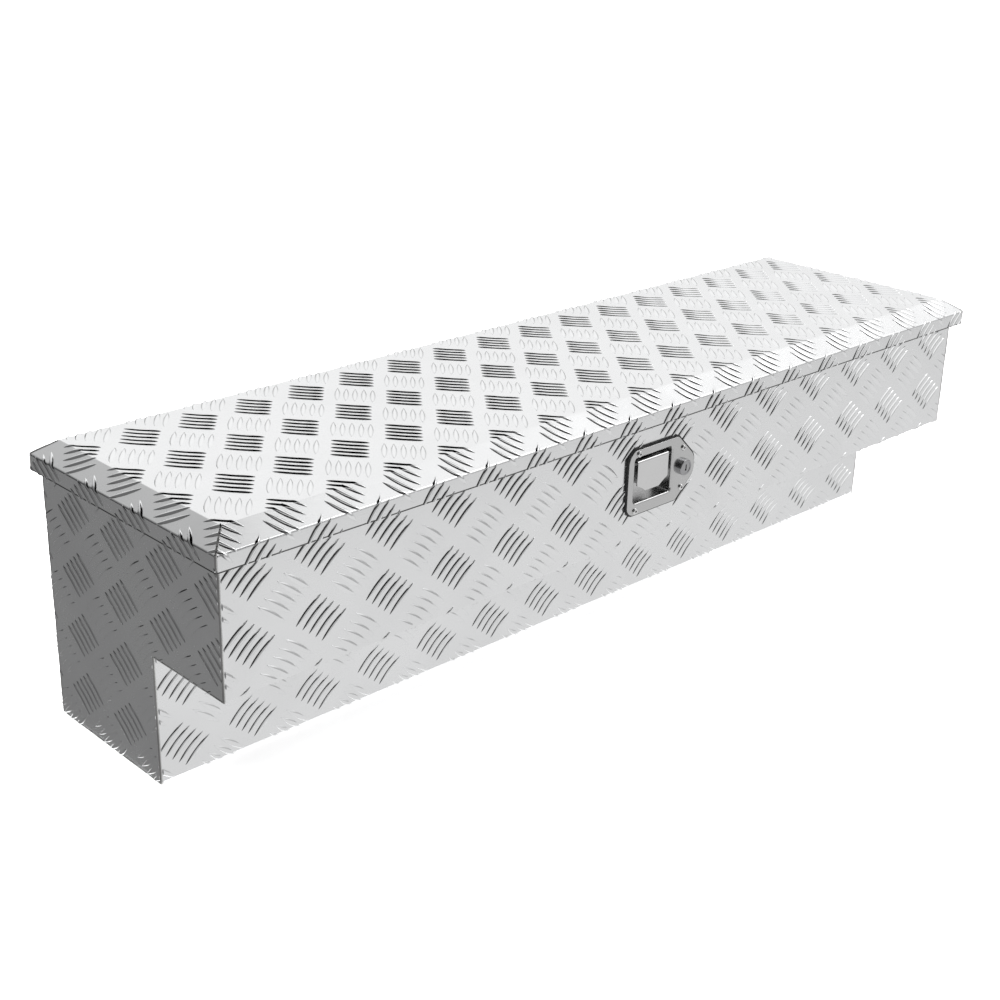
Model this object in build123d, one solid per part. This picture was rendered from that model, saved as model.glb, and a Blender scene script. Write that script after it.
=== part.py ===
from build123d import *
import os
from math import atan, atan2, cos, degrees, hypot, radians, sin

# Side-mount truck tool box in tread plate, all sizes in millimetres.
# +X runs along the box, -Y is the latch side, +Z is up.
# The origin is the centre of the bounding box's bottom face.

# Body: a stepped sheet-metal trough with two L-shaped ends
BODY_LENGTH = 1220.0
BODY_DEPTH = 324.0
STEP_SETBACK = 124.0
STEP_HEIGHT = 150.0
SHEET = 2.0
BEND_OUTSIDE = 3.5
BEND_INSIDE = 1.5
RIM_FLANGE = 28.0
SEAL_INSET = 21.0
SEAL_WIDTH = 12.0
SEAL_WALL = 1.6

# Lid: a tray with sloped edges and a vertical lip
LIP_BOTTOM = 294.0
LIP_HEIGHT = 18.0
SLOPE_RISE = 17.0
SLOPE_RUN = 24.0
FRONT_OVERHANG = 12.0
REAR_OVERHANG = 6.0
END_OVERHANG = 10.0
RIM_ABOVE_LIP = 20.0
LID_BEND = 3.0

# Rivets
RIVET_HEAD_HEIGHT = 1.2
RIVET_HEAD_RADIUS = 4.0
RIVET_SHANK = 2.0
HOLE_PLAY = 0.1

# Piano hinge
HINGE_AXIS_OFFSET = 3.4
HINGE_AXIS_DROP = 4.0
KNUCKLE_RADIUS = 2.5
KNUCKLE_PITCH = 50.0
KNUCKLE_COUNT = 23
KNUCKLE_GAP = 0.3
LEAF = 1.2
LEAF_CLEARANCE = 0.6
LEAF_HEIGHT = 20.0
HINGE_PIN_RADIUS = 1.2
RUNNING_PLAY = 0.05

# Gas struts, one at each end
STRUT_PLANE = 564.0
STRUT_BASE = (-235.0, -60.0)
STRUT_LID_POINT = (-75.0, 16.0)
BALL_RADIUS = 5.0
SOCKET_RADIUS = 8.0
SOCKET_LENGTH = 16.0
TUBE_RADIUS = 9.0
TUBE_WALL = 1.5
ROD_RADIUS = 4.0
LID_OPENING_ANGLE = 75.0
LID_STUD_REACH = 12.0
OPEN_PIVOT_GAP = 0.3
BRACKET_SHEET = 3.0

# Paddle latch
RECESS_X = (-37.0, 27.5)
RECESS_Z = (201.0, 257.0)
RECESS_CORNER = 4.0
PAN_WALL = 1.2
BEZEL = 1.5
GASKET = 2.6
PAN_DEPTH = 13.0
PADDLE_WIDTH = 53.0
PADDLE_TOP = 252.3
PADDLE_SHOULDER = 222.0
PADDLE_TONGUE = 213.0
PADDLE_PROUD = 3.4
PADDLE_SHEET = 1.5
PADDLE_PIN = (6.0, 245.0)
PADDLE_PIN_RADIUS = 2.0
TAIL_REACH = 16.0
TAIL_WIDTH = 10.0
TAIL_RADIUS = 2.0
HOOK_PIN = (37.0, 242.0)
HOOK_PIN_RADIUS = 2.5
STRIKER_BAR = (36.0, 294.0)
STRIKER_RADIUS = 3.0
HOOK_CLEARANCE = 0.6
HOOK_WIDTH = 8.0
STRIKER_WIDTH = 28.0
STRIKER_PLATE = 2.5
CASE_WIDTH = 27.0
CASE_SHEET = 1.5
CASE_REACH = 45.0
CASE_BASE_Z = (228.0, 256.0)
CASE_CHEEK_Z = (230.0, 254.0)
PIN_HEAD = 1.2
SPRING_WIRE = 0.6
LOCK_X = 47.5
LOCK_Z = 227.0
LOCK_RADIUS = 10.0
PLUG_RADIUS = 7.0
LOCK_PROTRUSION = 6.0
LOCK_REACH = 18.0
PLUG_REACH = 20.0
PLUG_SET_BACK = 0.4
LOCK_RIM_RADIUS = 1.4
LOCK_NUT_RADIUS = 14.0
LOCK_NUT_HEIGHT = 4.0
KEYWAY_WIDTH = 1.8
KEYWAY_HEIGHT = 7.6
KEYWAY_DEPTH = 9.0
CAM_WIDTH = 12.0
CAM_LENGTH = 26.0
CAM_SHEET = 2.5

BEZEL_LEFT = -47.0
BEZEL_SHOULDER = 38.0
BEZEL_RIGHT = 69.0
BEZEL_Z = (186.5, 267.0)
BEZEL_NOSE_Z = (216.0, 236.0)
BEZEL_CORNERS = [14, 8, 20, 20, 8, 12]
LATCH_RIVETS = [(-31, 262), (47, 251), (-33.5, 191.5), (46.5, 201)]
LATCH_RIVET_HEAD = 2.0
LATCH_RIVET_BORE = 1.3
MOUTH_ROLL = 2.6
MOUTH_BACKING = 1.8
GASKET_MARGIN = 1.4
CAM_SCREW_RADIUS = 2.0
CAM_SCREW_HEAD_RADIUS = 4.0
CAM_SCREW_HEAD = 3.0

# Worked-out places
TOTAL_DEPTH = FRONT_OVERHANG + BODY_DEPTH + REAR_OVERHANG + RIVET_HEAD_HEIGHT
FRONT = FRONT_OVERHANG - TOTAL_DEPTH / 2
BACK = FRONT + BODY_DEPTH
STEP_Y = FRONT + STEP_SETBACK
HALF = BODY_LENGTH / 2
RIM = LIP_BOTTOM + RIM_ABOVE_LIP
LID_TOP = LIP_BOTTOM + LIP_HEIGHT + SLOPE_RISE
LID_UNDERSIDE = LID_TOP - SHEET
HINGE_Y = BACK + HINGE_AXIS_OFFSET
HINGE_Z = LIP_BOTTOM - HINGE_AXIS_DROP
LATCH_X = (RECESS_X[0] + RECESS_X[1]) / 2
BEZEL_FACE = FRONT - GASKET - BEZEL
PAN_BACK = FRONT + PAN_DEPTH
CAM_Y = (FRONT + PLUG_REACH, FRONT + PLUG_REACH + CAM_SHEET)


def block(x, y, z):
    """A box between three pairs of coordinates."""
    centre = Pos((x[0] + x[1]) / 2, (y[0] + y[1]) / 2, (z[0] + z[1]) / 2)
    return centre * Box(x[1] - x[0], y[1] - y[0], z[1] - z[0])


def bar_x(radius, x, y, z):
    return Pos((x[0] + x[1]) / 2, y, z) * Rot(0, 90, 0) * Cylinder(radius, x[1] - x[0])


def bar_y(radius, x, y, z):
    return Pos(x, (y[0] + y[1]) / 2, z) * Rot(90, 0, 0) * Cylinder(radius, y[1] - y[0])


def bar_z(radius, x, y, z):
    return Pos(x, y, (z[0] + z[1]) / 2) * Cylinder(radius, z[1] - z[0])


def slab_x(outline, x):
    """Extrude a closed outline of (y, z) along X."""
    face = make_face(outline)
    return extrude(Plane.YZ.offset(x[0]) * face, x[1] - x[0])


def slab_y(outline, y):
    """Extrude a closed outline of (x, z) along Y."""
    face = make_face(outline)
    return extrude(Plane.XZ.offset(-y[1]) * face, y[1] - y[0])


def rounded(points, radii):
    return FilletPolyline(*points, radius=radii, close=True)


def rivet_y(x, y_head, z, grip, outward=-1, head_height=RIVET_HEAD_HEIGHT):
    """A domed rivet along Y: head at y_head, shank through grip, a flat tail behind."""
    inward = -outward
    base = y_head
    tip = y_head + outward * head_height
    head = bar_y(RIVET_HEAD_RADIUS, x, sorted((base, tip)), z)
    rim = head.edges().filter_by(GeomType.CIRCLE).sort_by(Axis.Y)
    rim = rim[0] if outward < 0 else rim[-1]
    head = fillet(rim, head_height * 0.8)
    end = base + inward * grip
    shank = bar_y(RIVET_SHANK, x, sorted((base, end)), z)
    tail = bar_y(RIVET_SHANK * 1.6, x, sorted((end, end + inward * 0.9)), z)
    return head + shank + tail


# ---------------------------------------------------------------- body sheets

def body_profile():
    """Outer outline of the stepped body in (y, z), open along the rim."""
    points = [
        (FRONT + RIM_FLANGE, RIM),
        (FRONT, RIM),
        (FRONT, STEP_HEIGHT),
        (STEP_Y, STEP_HEIGHT),
        (STEP_Y, 0),
        (BACK, 0),
        (BACK, RIM),
        (BACK - RIM_FLANGE, RIM),
    ]
    radii = [BEND_OUTSIDE, BEND_OUTSIDE, BEND_INSIDE, BEND_OUTSIDE, BEND_OUTSIDE, BEND_OUTSIDE]
    return points, radii


def body_wrap():
    points, radii = body_profile()
    line = FilletPolyline(*points, radius=radii)
    inner_points = [
        (FRONT + RIM_FLANGE, RIM - SHEET),
        (FRONT + SHEET, RIM - SHEET),
        (FRONT + SHEET, STEP_HEIGHT + SHEET),
        (STEP_Y + SHEET, STEP_HEIGHT + SHEET),
        (STEP_Y + SHEET, SHEET),
        (BACK - SHEET, SHEET),
        (BACK - SHEET, RIM - SHEET),
        (BACK - RIM_FLANGE, RIM - SHEET),
    ]
    inner_radii = [BEND_INSIDE, BEND_INSIDE, BEND_OUTSIDE, BEND_INSIDE, BEND_INSIDE, BEND_INSIDE]
    inner = FilletPolyline(*inner_points, radius=inner_radii)
    ends = [Line(points[0], inner_points[0]), Line(points[-1], inner_points[-1])]
    face = make_face(Curve() + line.edges() + inner.edges() + ends)
    wrap = extrude(Plane.YZ.offset(SHEET - HALF) * face, BODY_LENGTH - 2 * SHEET)
    wrap -= latch_cutout()
    for x in rivet_stations():
        wrap -= bar_y(RIVET_SHANK + HOLE_PLAY, x, (BACK - 2 * SHEET, BACK + 1), body_rivet_height())
    return wrap


def latch_cutout():
    """The hole in the front wall that the latch pan and the lock pass through."""
    play = PAN_WALL + 0.8
    x = (RECESS_X[0] - play, RECESS_X[1] + play)
    z = (RECESS_Z[0] - play, RECESS_Z[1] + play)
    wall = (FRONT - 1, FRONT + SHEET + 1)
    hole = block(x, wall, z) + bar_y(LOCK_RADIUS + 0.3, LOCK_X, wall, LOCK_Z)
    for x, z in LATCH_RIVETS:
        hole += bar_y(RIVET_SHANK + HOLE_PLAY, x, wall, z)
    return hole


def end_panel(side):
    """An L-shaped end with a rim flange turned inwards; side is -1 left, +1 right."""
    points, corner_radii = body_profile()
    outline = [(FRONT, RIM), *points[2:6], (BACK, RIM)]
    inner_face = side * (HALF - SHEET)
    outer_face = side * HALF
    panel = slab_x(rounded(outline, corner_radii), sorted((inner_face, outer_face)))
    flange_y = (FRONT + RIM_FLANGE, BACK - RIM_FLANGE)
    bend_start = RIM - BEND_OUTSIDE
    panel -= block(sorted((inner_face - side, outer_face + side)), flange_y, (bend_start, RIM + 1))
    lip = side * (HALF - RIM_FLANGE)
    outer = FilletPolyline((lip, RIM), (outer_face, RIM), (outer_face, bend_start - 1), radius=BEND_OUTSIDE)
    inner = FilletPolyline((lip, RIM - SHEET), (inner_face, RIM - SHEET), (inner_face, bend_start - 1),
                           radius=BEND_INSIDE)
    ends = [Line((lip, RIM), (lip, RIM - SHEET)),
            Line((outer_face, bend_start - 1), (inner_face, bend_start - 1))]
    return panel + slab_y(Curve() + outer.edges() + inner.edges() + ends, flange_y)


def rim_gasket():
    """A D-shaped bulb seal that runs round the rim."""
    height = LID_UNDERSIDE - RIM - 0.3
    inset = SEAL_INSET
    width = BODY_LENGTH - 2 * inset
    depth = BODY_DEPTH - 2 * inset
    centre = Pos(0, (FRONT + BACK) / 2, RIM)
    path = centre * RectangleRounded(width, depth, 14).wire()
    outer = SEAL_WIDTH / 2
    wall = SEAL_WALL

    def bulb(half_width, top):
        arch = ThreePointArc((-half_width, top - half_width), (0, top), (half_width, top - half_width))
        base = Polyline((half_width, top - half_width), (half_width, 0), (-half_width, 0),
                        (-half_width, top - half_width))
        return make_face(Curve() + [arch, base])

    start = path.edges().sort_by(SortBy.LENGTH)[-1]
    plane = Plane(origin=start @ 0.5, x_dir=(0, 1, 0), z_dir=start % 0.5)
    if plane.y_dir.Z < 0:
        plane = Plane(origin=start @ 0.5, x_dir=(0, -1, 0), z_dir=start % 0.5)
    ring = sweep(plane * bulb(outer, height), path=path)
    hollow = sweep(plane * (Pos(0, wall) * bulb(outer - wall, height - 2 * wall)), path=path)
    return ring - hollow


# ------------------------------------------------------------------------ lid

def tray(inset, run, lip, rise, bend):
    """A closed block with a vertical lip and four slopes, used for the lid's two faces."""
    low_x = HALF + END_OVERHANG - inset
    low_y = (FRONT - FRONT_OVERHANG + inset, BACK + REAR_OVERHANG - inset)
    mid_y = (low_y[0] + low_y[1]) / 2
    size = (2 * low_x, low_y[1] - low_y[0])
    base = Pos(0, mid_y, LIP_BOTTOM + lip) * Rectangle(*size)
    top = Pos(0, mid_y, LIP_BOTTOM + lip + rise) * Rectangle(size[0] - 2 * run, size[1] - 2 * run)
    upper = loft([base.face(), top.face()])
    lower = extrude(base.face(), -lip) if base.face().normal_at().Z > 0 else extrude(base.face(), lip)
    solid = upper + lower
    floor = solid.edges().group_by(Axis.Z)[0]
    bends = [edge for edge in solid.edges() if edge not in floor]
    return fillet(bends, bend)


def lid_panel():
    angle = atan(SLOPE_RISE / SLOPE_RUN)
    drop = SHEET / cos(angle)
    inner_lip = LIP_HEIGHT + SHEET * SLOPE_RISE / SLOPE_RUN - drop
    inner_rise = LIP_HEIGHT + SLOPE_RISE - SHEET - inner_lip
    inner_run = inner_rise * SLOPE_RUN / SLOPE_RISE
    shell = tray(0, SLOPE_RUN, LIP_HEIGHT, SLOPE_RISE, LID_BEND)
    hollow = tray(SHEET, inner_run, inner_lip, inner_rise, LID_BEND / 3)
    lid = shell - hollow
    for x in rivet_stations():
        lid -= bar_y(RIVET_SHANK + HOLE_PLAY, x, (BACK, BACK + REAR_OVERHANG + 1), lid_rivet_height())
    return lid


def lid_stiffener():
    """A hat channel bonded under the lid."""
    length = 1060.0
    crown = 34.0
    brim = 16.0
    height = 12.0
    wall = 1.2
    mid_y = (FRONT + BACK) / 2
    top = LID_UNDERSIDE
    low = top - height
    outer = [
        (mid_y - crown - brim, top), (mid_y - crown - brim, top - wall), (mid_y - crown, top - wall),
        (mid_y - crown + 6, low), (mid_y + crown - 6, low), (mid_y + crown, top - wall),
        (mid_y + crown + brim, top - wall), (mid_y + crown + brim, top), (mid_y + crown - 1.0, top),
        (mid_y + crown - 7, low + wall), (mid_y - crown + 7, low + wall), (mid_y - crown + 1.0, top),
    ]
    return slab_x(Polyline(*outer, close=True), (-length / 2, length / 2))


# ---------------------------------------------------------------------- hinge

def rivet_stations():
    """Every second knuckle carries a rivet in each leaf."""
    span = KNUCKLE_PITCH * (KNUCKLE_COUNT - 3)
    count = (KNUCKLE_COUNT - 1) // 2
    return [-span / 2 + i * span / (count - 1) for i in range(count)]


def body_rivet_height():
    return HINGE_Z - LEAF_HEIGHT * 0.65


def lid_rivet_height():
    return HINGE_Z + LEAF_HEIGHT * 0.65


def knuckle_x(index):
    start = -KNUCKLE_PITCH * KNUCKLE_COUNT / 2 + index * KNUCKLE_PITCH
    return (start + KNUCKLE_GAP / 2, start + KNUCKLE_PITCH - KNUCKLE_GAP / 2)


def hinge_leaf(first, leaf_y, direction, rivet_z):
    """One leaf with its own knuckles; direction is +1 up for the lid, -1 down for the body."""
    half = KNUCKLE_PITCH * KNUCKLE_COUNT / 2
    near = HINGE_Z + direction * (KNUCKLE_RADIUS + LEAF_CLEARANCE)
    far = HINGE_Z + direction * LEAF_HEIGHT
    leaf = block((-half, half), leaf_y, sorted((near, far)))
    for index in range(first, KNUCKLE_COUNT, 2):
        x = knuckle_x(index)
        leaf += bar_x(KNUCKLE_RADIUS, x, HINGE_Y, HINGE_Z)
        leaf += block(x, leaf_y, sorted((HINGE_Z, near)))
    for x in rivet_stations():
        leaf -= bar_y(RIVET_SHANK + HOLE_PLAY, x, (leaf_y[0] - 1, leaf_y[1] + 1), rivet_z)
    return leaf - bar_x(HINGE_PIN_RADIUS + RUNNING_PLAY, (-half - 1, half + 1), HINGE_Y, HINGE_Z)


def hinge_body_leaf():
    return hinge_leaf(0, (BACK, BACK + LEAF), -1, body_rivet_height())


def hinge_lid_leaf():
    face = BACK + REAR_OVERHANG - SHEET
    return hinge_leaf(1, (face - LEAF, face), 1, lid_rivet_height())


def hinge_pin():
    half = KNUCKLE_PITCH * KNUCKLE_COUNT / 2
    return bar_x(HINGE_PIN_RADIUS, (-half, half), HINGE_Y, HINGE_Z)


def hinge_body_rivets():
    grip = LEAF + SHEET
    z = body_rivet_height()
    return Compound(children=[rivet_y(x, BACK + LEAF, z, grip, 1) for x in rivet_stations()])


def hinge_lid_rivets():
    grip = LEAF + SHEET
    z = lid_rivet_height()
    return Compound(children=[rivet_y(x, BACK + REAR_OVERHANG, z, grip, 1) for x in rivet_stations()])


# --------------------------------------------------------------------- struts

def strut_points():
    """Centres of the body ball and the lid ball in (y, z), with the lid closed."""
    base = (HINGE_Y + STRUT_BASE[0], HINGE_Z + STRUT_BASE[1])
    lid = (HINGE_Y + STRUT_LID_POINT[0], HINGE_Z + STRUT_LID_POINT[1])
    return base, lid


def strut_length(opening):
    """Distance between the two balls with the lid open by an angle in degrees."""
    turn = radians(opening)
    y, z = STRUT_LID_POINT
    lid_y = y * cos(turn) + z * sin(turn)
    lid_z = z * cos(turn) - y * sin(turn)
    return hypot(lid_y - STRUT_BASE[0], lid_z - STRUT_BASE[1])


def in_strut(solid, side):
    """Move a piece drawn along +Z from the body ball into its place."""
    base, lid = strut_points()
    lean = 90 - degrees(atan2(lid[1] - base[1], lid[0] - base[0]))
    return Pos(side * STRUT_PLANE, base[0], base[1]) * Rot(-lean, 0, 0) * solid


def ball_socket(side, start, end, ball_z):
    """A plastic end fitting with a ball cup that opens outboard."""
    body = bar_z(SOCKET_RADIUS, 0, 0, (start, end))
    cup = Pos(0, 0, ball_z) * Sphere(BALL_RADIUS + RUNNING_PLAY)
    mouth = bar_x(BALL_RADIUS * 0.8, sorted((0, side * (SOCKET_RADIUS + 1))), 0, ball_z)
    return body - cup - mouth


def strut_cylinder_end(side):
    return in_strut(ball_socket(side, -SOCKET_RADIUS, SOCKET_LENGTH, 0), side)


def tube_span():
    closed = strut_length(0)
    return (SOCKET_LENGTH, closed - SOCKET_LENGTH - 3.0)


def strut_cylinder(side):
    low, high = tube_span()
    gland = 5.0
    tube = bar_z(TUBE_RADIUS, 0, 0, (low, high))
    bore = bar_z(TUBE_RADIUS - TUBE_WALL, 0, 0, (low + 2, high - gland))
    rod_hole = bar_z(ROD_RADIUS + RUNNING_PLAY, 0, 0, (high - gland - 1, high + 1))
    return in_strut(tube - bore - rod_hole, side)


def strut_rod(side):
    low = tube_span()[0] + 2 + 4.0
    high = strut_length(0) - SOCKET_LENGTH
    piston = bar_z(TUBE_RADIUS - TUBE_WALL - 0.2, 0, 0, (low, low + 8))
    return in_strut(bar_z(ROD_RADIUS, 0, 0, (low, high)) + piston, side)


def strut_rod_end(side):
    closed = strut_length(0)
    return in_strut(ball_socket(side, closed - SOCKET_LENGTH, closed + SOCKET_RADIUS, closed), side)


def ball_stud(side, y, z, reach, flange):
    """A ball on a neck along X that ends in a collar at the bracket."""
    neck = BALL_RADIUS * 0.5
    collar = BALL_RADIUS * 1.1
    shoulder = BALL_RADIUS * cos(radians(30))
    arc = ThreePointArc((-BALL_RADIUS, 0), (0, BALL_RADIUS), (shoulder, neck))
    steps = Polyline((shoulder, neck), (reach - flange, neck), (reach - flange, collar),
                     (reach, collar), (reach, 0), (-BALL_RADIUS, 0))
    stud = revolve(make_face(Curve() + [arc, steps]), Axis.X)
    if side < 0:
        stud = mirror(stud, Plane.YZ)
    return Pos(side * STRUT_PLANE, y, z) * stud


def strut_body_stud(side):
    base, _ = strut_points()
    reach = HALF - SHEET - BRACKET_SHEET - STRUT_PLANE
    return ball_stud(side, base[0], base[1], reach, reach - SOCKET_RADIUS - 4)


def strut_body_bracket(side):
    base, _ = strut_points()
    wall = side * (HALF - SHEET)
    x = sorted((wall, wall - side * BRACKET_SHEET))
    half = 20.0
    plate = block(x, (base[0] - half, base[0] + half), (base[1] - half, base[1] + half))
    return fillet(plate.edges().filter_by(Axis.X), 6)


def strut_lid_stud(side):
    _, lid = strut_points()
    reach = LID_STUD_REACH - OPEN_PIVOT_GAP
    return ball_stud(side, lid[0], lid[1], reach, 2.5)


def strut_lid_bracket(side):
    """An angle bonded under the lid; the ball stud's collar stands just clear of it."""
    _, lid = strut_points()
    near = side * (STRUT_PLANE + LID_STUD_REACH)
    half = 18.0
    web_x = sorted((near, near + side * BRACKET_SHEET))
    foot_x = sorted((near - side * 22, near + side * BRACKET_SHEET))
    y = (lid[0] - half, lid[0] + half)
    web = block(web_x, y, (lid[1] - 10, LID_UNDERSIDE))
    web = fillet(web.edges().filter_by(Axis.X).group_by(Axis.Z)[0], 6)
    return web + block(foot_x, y, (LID_UNDERSIDE - BRACKET_SHEET, LID_UNDERSIDE))


# ---------------------------------------------------------------------- latch

def latch_outline(margin):
    """The bezel's five-sided outline, grown by a margin; it comes to a blunt nose round the lock."""
    left = BEZEL_LEFT - margin
    shoulder = BEZEL_SHOULDER + margin
    right = BEZEL_RIGHT + margin
    low, high = BEZEL_Z[0] - margin, BEZEL_Z[1] + margin
    nose_low, nose_high = BEZEL_NOSE_Z[0] - margin, BEZEL_NOSE_Z[1] + margin
    upper = [(left, high), (shoulder, high), (right, nose_high)]
    lower = [(right, nose_low), (shoulder, low), (left, low)]
    return rounded(upper + lower, BEZEL_CORNERS)


def recess_block(margin, y):
    x = (RECESS_X[0] - margin, RECESS_X[1] + margin)
    z = (RECESS_Z[0] - margin, RECESS_Z[1] + margin)
    solid = block(x, y, z)
    return fillet(solid.edges().filter_by(Axis.Y), RECESS_CORNER + margin)


def latch_holes(y, lock_play):
    holes = bar_y(LOCK_RADIUS + lock_play, LOCK_X, y, LOCK_Z)
    for x, z in LATCH_RIVETS:
        holes += bar_y(RIVET_SHANK + HOLE_PLAY, x, y, z)
    return holes


def tail_slot():
    """The slot in the pan's back and the case that the paddle's tail swings in."""
    x = (LATCH_X - 6.5, LATCH_X + 6.5)
    return block(x, (PAN_BACK - 3, PAN_BACK + 3), (PADDLE_PIN[1] - 9, PADDLE_PIN[1] + 4))


def latch_pan():
    """The stainless bezel with its pressed finger recess, in one piece."""
    bezel_y = (BEZEL_FACE, BEZEL_FACE + BEZEL)
    bezel = slab_y(latch_outline(0), bezel_y)
    front_edges = bezel.edges().group_by(Axis.Y)[0]
    bezel = fillet(front_edges, 0.7)
    pan = bezel + recess_block(PAN_WALL, (BEZEL_FACE + BEZEL, PAN_BACK))
    pan += recess_block(PAN_WALL + MOUTH_BACKING, (BEZEL_FACE + BEZEL, FRONT - 0.2))
    pan -= recess_block(0, (BEZEL_FACE - 1, PAN_BACK - PAN_WALL))
    mouth = [e for e in pan.edges().group_by(Axis.Y)[0] if is_mouth_edge(e)]
    pan = fillet(mouth, MOUTH_ROLL)
    pan -= latch_holes((BEZEL_FACE - 1, FRONT), RUNNING_PLAY)
    pan -= tail_slot()
    pin_x = (RECESS_X[0] - 4, RECESS_X[1] + 4)
    return pan - bar_x(PADDLE_PIN_RADIUS + RUNNING_PLAY, pin_x, FRONT + PADDLE_PIN[0], PADDLE_PIN[1])


def is_mouth_edge(edge):
    """True for an edge round the mouth of the finger recess."""
    middle = edge.center()
    inside_x = RECESS_X[0] - 1 < middle.X < RECESS_X[1] + 1
    inside_z = RECESS_Z[0] - 1 < middle.Z < RECESS_Z[1] + 1
    return inside_x and inside_z


def latch_gasket():
    """The rubber sheet between the bezel and the front wall."""
    hole_play = 0.3
    sheet = slab_y(latch_outline(GASKET_MARGIN), (FRONT - GASKET, FRONT))
    through = (FRONT - GASKET - 1, FRONT + 1)
    sheet -= recess_block(PAN_WALL + MOUTH_BACKING + hole_play, through)
    return sheet - latch_holes(through, hole_play)


def latch_rivets():
    grip = BEZEL + GASKET + SHEET
    rivets = []
    for x, z in LATCH_RIVETS:
        rivet = rivet_y(x, BEZEL_FACE, z, grip, head_height=LATCH_RIVET_HEAD)
        rivet -= bar_y(LATCH_RIVET_BORE, x, (BEZEL_FACE - 3, FRONT + SHEET), z)
        rivets.append(rivet)
    return Compound(children=rivets)


def latch_case():
    """A channel on the back of the pan whose cheeks carry the hook's pin."""
    half = CASE_WIDTH / 2
    case = block((LATCH_X - half, LATCH_X + half), (PAN_BACK, PAN_BACK + CASE_SHEET), CASE_BASE_Z)
    for side in (-1, 1):
        x = sorted((LATCH_X + side * half, LATCH_X + side * (half - CASE_SHEET)))
        cheek = block(x, (PAN_BACK, FRONT + CASE_REACH), CASE_CHEEK_Z)
        case += fillet(cheek.edges().filter_by(Axis.X).group_by(Axis.Y)[-1], 6)
    case -= tail_slot()
    pin_x = (LATCH_X - CASE_WIDTH, LATCH_X + CASE_WIDTH)
    return case - bar_x(HOOK_PIN_RADIUS + RUNNING_PLAY, pin_x, FRONT + HOOK_PIN[0], HOOK_PIN[1])


def headed_pin(radius, half, y, z):
    pin = bar_x(radius, (LATCH_X - half, LATCH_X + half), y, z)
    for side in (-1, 1):
        x = sorted((LATCH_X + side * half, LATCH_X + side * (half - PIN_HEAD)))
        pin += bar_x(radius * 1.5, x, y, z)
    return pin


def hook_pin():
    half = CASE_WIDTH / 2 + PIN_HEAD + 0.3
    return headed_pin(HOOK_PIN_RADIUS, half, FRONT + HOOK_PIN[0], HOOK_PIN[1])


def paddle_pin():
    half = (RECESS_X[1] - RECESS_X[0]) / 2 + PAN_WALL + PIN_HEAD + 0.2
    return headed_pin(PADDLE_PIN_RADIUS, half, FRONT + PADDLE_PIN[0], PADDLE_PIN[1])


def torsion_spring(pin, start_x, turns, pitch, radius, leg):
    """Coils along +X round a pin at (y, z), with one straight leg down against the fixed wall."""
    y, z = FRONT + pin[0], pin[1]
    helix = Pos(start_x, y, z) * Rot(0, 90, 0) * Helix(pitch, pitch * turns, radius)
    profile = Plane(origin=helix @ 0, z_dir=helix % 0) * Circle(SPRING_WIRE)
    coil = sweep(profile, path=helix)
    first = helix @ 0
    return coil + bar_z(SPRING_WIRE, first.X, first.Y, sorted((first.Z, z - leg)))


def paddle_spring():
    return torsion_spring(PADDLE_PIN, LATCH_X + 9, turns=5, pitch=1.6, radius=3.2, leg=12)


def hook_spring():
    return torsion_spring(HOOK_PIN, LATCH_X + 5, turns=4, pitch=1.5, radius=3.9, leg=10)


def paddle():
    """The pull plate with its side folds, rolled top and operating tail."""
    half = PADDLE_WIDTH / 2
    shoulder = half - 7.5
    tongue = half - 14.5
    shoulder_drop = 4.0
    face_y = FRONT - PADDLE_PROUD
    outline = [
        (LATCH_X - half, PADDLE_TOP), (LATCH_X + half, PADDLE_TOP), (LATCH_X + half, PADDLE_SHOULDER),
        (LATCH_X + shoulder, PADDLE_SHOULDER - shoulder_drop), (LATCH_X + tongue, PADDLE_TONGUE),
        (LATCH_X - tongue, PADDLE_TONGUE), (LATCH_X - shoulder, PADDLE_SHOULDER - shoulder_drop),
        (LATCH_X - half, PADDLE_SHOULDER),
    ]
    plate = slab_y(Polyline(*outline, close=True), (face_y, face_y + PADDLE_SHEET))
    corners = plate.edges().filter_by(Axis.Y)
    plate = fillet(corners.filter_by(lambda edge: edge.center().Z < PADDLE_SHOULDER + 1), 2)
    x = (LATCH_X - half, LATCH_X + half)
    plate += block(x, (face_y, face_y + 5), (PADDLE_TOP - PADDLE_SHEET, PADDLE_TOP))
    top_edge = plate.edges().filter_by(Axis.X).group_by(Axis.Y)[0].sort_by(Axis.Z)[-1]
    plate = fillet(top_edge, 2.4)
    pin_y, pin_z = FRONT + PADDLE_PIN[0], PADDLE_PIN[1]
    for side in (-1, 1):
        ear_x = sorted((LATCH_X + side * half, LATCH_X + side * (half - PADDLE_SHEET)))
        ear_z = (PADDLE_SHOULDER + 3, PADDLE_TOP - PADDLE_SHEET / 2)
        ear = block(ear_x, (face_y + PADDLE_SHEET / 2, pin_y + 4), ear_z)
        plate += fillet(ear.edges().filter_by(Axis.X).group_by(Axis.Y)[-1], 3)
    bore = bar_x(PADDLE_PIN_RADIUS + RUNNING_PLAY, (x[0] - 1, x[1] + 1), pin_y, pin_z)
    return plate + paddle_tail(face_y) - bore


def paddle_tail(face_y):
    """The tail behind the pull plate that presses the hook's lever down."""
    x = (LATCH_X - TAIL_WIDTH / 2, LATCH_X + TAIL_WIDTH / 2)
    z = PADDLE_PIN[1]
    end = FRONT + TAIL_REACH
    tail = block(x, (face_y + PADDLE_SHEET, end), (z - TAIL_RADIUS, z + TAIL_RADIUS))
    tail += bar_x(TAIL_RADIUS, x, end, z)
    return tail + bar_x(PADDLE_PIN_RADIUS + 1.6, x, FRONT + PADDLE_PIN[0], z)


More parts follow.
